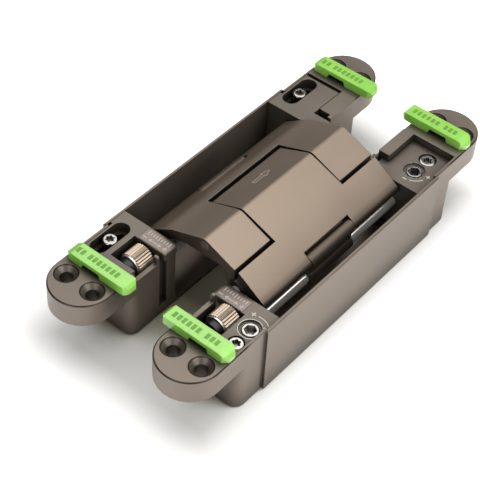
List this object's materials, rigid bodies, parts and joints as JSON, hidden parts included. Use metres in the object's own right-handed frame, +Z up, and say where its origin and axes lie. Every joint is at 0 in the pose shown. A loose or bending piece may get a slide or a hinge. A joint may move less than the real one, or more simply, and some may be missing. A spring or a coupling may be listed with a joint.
{
  "type": "concealed hydraulic cabinet hinge",
  "caption": "Concealed cabinet door hinge shown open: two long leaves, crossing arms with links in deep pockets, damping speed knobs and adjusting screws.",
  "frame": {"origin": "midway between the leaves and along them, on the surface that their undersides rest on", "axes": "+Y along the leaves, +X across them towards the leaf whose carriers lie lower, +Z up out of the pockets"},
  "size_m": [0.0766, 0.177, 0.0411],
  "materials": {
    "housing_coat": "satin bronze-grey coating on die-cast zinc",
    "carrier_coat": "satin bronze-grey coating on die-cast zinc",
    "arm_coat": "satin bronze-grey coating on die-cast zinc",
    "link_coat": "satin bronze-grey coating on die-cast zinc",
    "knob_metal": "light bronze plating, knurled",
    "knob_cap": "black",
    "steel": "ground steel",
    "bright_screw": "bright plated steel",
    "clip_plastic": "bright green moulded plastic"
  },
  "bodies": {
    "left_leaf": {"left_housing": "housing_coat", "left_near_clamp_screw": "bright_screw", "left_far_clamp_screw": "bright_screw", "left_near_clip": "clip_plastic", "left_far_clip": "clip_plastic"},
    "left_frame": {"left_near_carrier": "carrier_coat", "left_far_carrier": "carrier_coat", "left_arm_shaft": "steel", "left_link_rod": "steel", "left_near_spacer": "steel", "left_far_spacer": "steel"},
    "tab_arm_body": {"tab_arm": "arm_coat", "right_link_pin": "steel"},
    "fork_arm_body": {"fork_arm": "arm_coat", "left_link_pin": "steel", "middle_pin": "steel"},
    "left_link_body": {"left_link": "link_coat"},
    "right_link_body": {"right_link": "link_coat"},
    "right_frame": {"right_near_carrier": "carrier_coat", "right_far_carrier": "carrier_coat", "right_arm_shaft": "steel", "right_link_rod": "steel", "right_near_spacer": "steel", "right_far_spacer": "steel", "right_near_clamp_screw": "bright_screw", "right_far_clamp_screw": "bright_screw"},
    "right_leaf": {"right_housing": "housing_coat", "right_near_clip": "clip_plastic", "right_far_clip": "clip_plastic"},
    "near_adjuster_body": {"right_near_adjuster": "bright_screw"},
    "far_adjuster_body": {"right_far_adjuster": "bright_screw"},
    "left_knob_body": {"left_speed_knob": "knob_metal", "left_knob_cap": "knob_cap"},
    "right_knob_body": {"right_speed_knob": "knob_metal", "right_knob_cap": "knob_cap"}
  },
  "joints": [
    {"name": "height_adjust", "type": "slide", "parent": "left_leaf", "child": "left_frame", "axis": [0, 1, 0], "range_m": [-0.0015, 0.0015]},
    {"name": "fold", "type": "hinge", "parent": "left_frame", "child": "tab_arm_body", "pos_m": [-0.0149, 0, 0.0261], "axis": [0, -1, 0], "range_deg": [0, 66]},
    {"name": "middle_turn", "type": "hinge", "parent": "tab_arm_body", "child": "fork_arm_body", "pos_m": [0, 0, 0.03825], "axis": [0, 1, 0], "range_deg": [0, 29.9]},
    {"name": "right_arm_turn", "type": "hinge", "parent": "fork_arm_body", "child": "right_frame", "pos_m": [0.0149, 0, 0.0261], "axis": [0, -1, 0], "range_deg": [0, 66.5]},
    {"name": "left_link_turn", "type": "hinge", "parent": "left_frame", "child": "left_link_body", "pos_m": [-0.0246, 0, 0.0177], "axis": [0, -1, 0], "range_deg": [0, 68.2]},
    {"name": "right_link_turn", "type": "hinge", "parent": "right_frame", "child": "right_link_body", "pos_m": [0.0246, 0, 0.0177], "axis": [0, 1, 0], "range_deg": [0, 68.2]},
    {"name": "depth_adjust", "type": "slide", "parent": "right_frame", "child": "right_leaf", "axis": [0, 0, 1], "range_m": [-0.001, 0.001]},
    {"name": "near_adjuster_turn", "type": "hinge", "parent": "right_leaf", "child": "near_adjuster_body", "pos_m": [0.0312, -0.0521, 0.0315], "axis": [0, 0, 1], "range_deg": [-361, 361]},
    {"name": "far_adjuster_turn", "type": "hinge", "parent": "right_leaf", "child": "far_adjuster_body", "pos_m": [0.0274, 0.0511, 0.0315], "axis": [0, 0, 1], "range_deg": [-361, 361]},
    {"name": "left_knob_turn", "type": "hinge", "parent": "left_frame", "child": "left_knob_body", "pos_m": [-0.0202, -0.053, 0.0268], "axis": [0, 1, 0], "range_deg": [-180, 180]},
    {"name": "right_knob_turn", "type": "hinge", "parent": "right_frame", "child": "right_knob_body", "pos_m": [0.02, -0.053, 0.025], "axis": [0, 1, 0], "range_deg": [-180, 180]}
  ],
  "couplings": [
    {"joint": "middle_turn", "follows": "fold", "ratio": 0.4453},
    {"joint": "right_arm_turn", "follows": "fold", "ratio": 1},
    {"joint": "left_link_turn", "follows": "fold", "ratio": 1.0256},
    {"joint": "right_link_turn", "follows": "fold", "ratio": 1.0256},
    {"joint": "near_adjuster_turn", "follows": "depth_adjust", "rad_per_m": 6283.2},
    {"joint": "far_adjuster_turn", "follows": "depth_adjust", "rad_per_m": 6283.2}
  ]
}
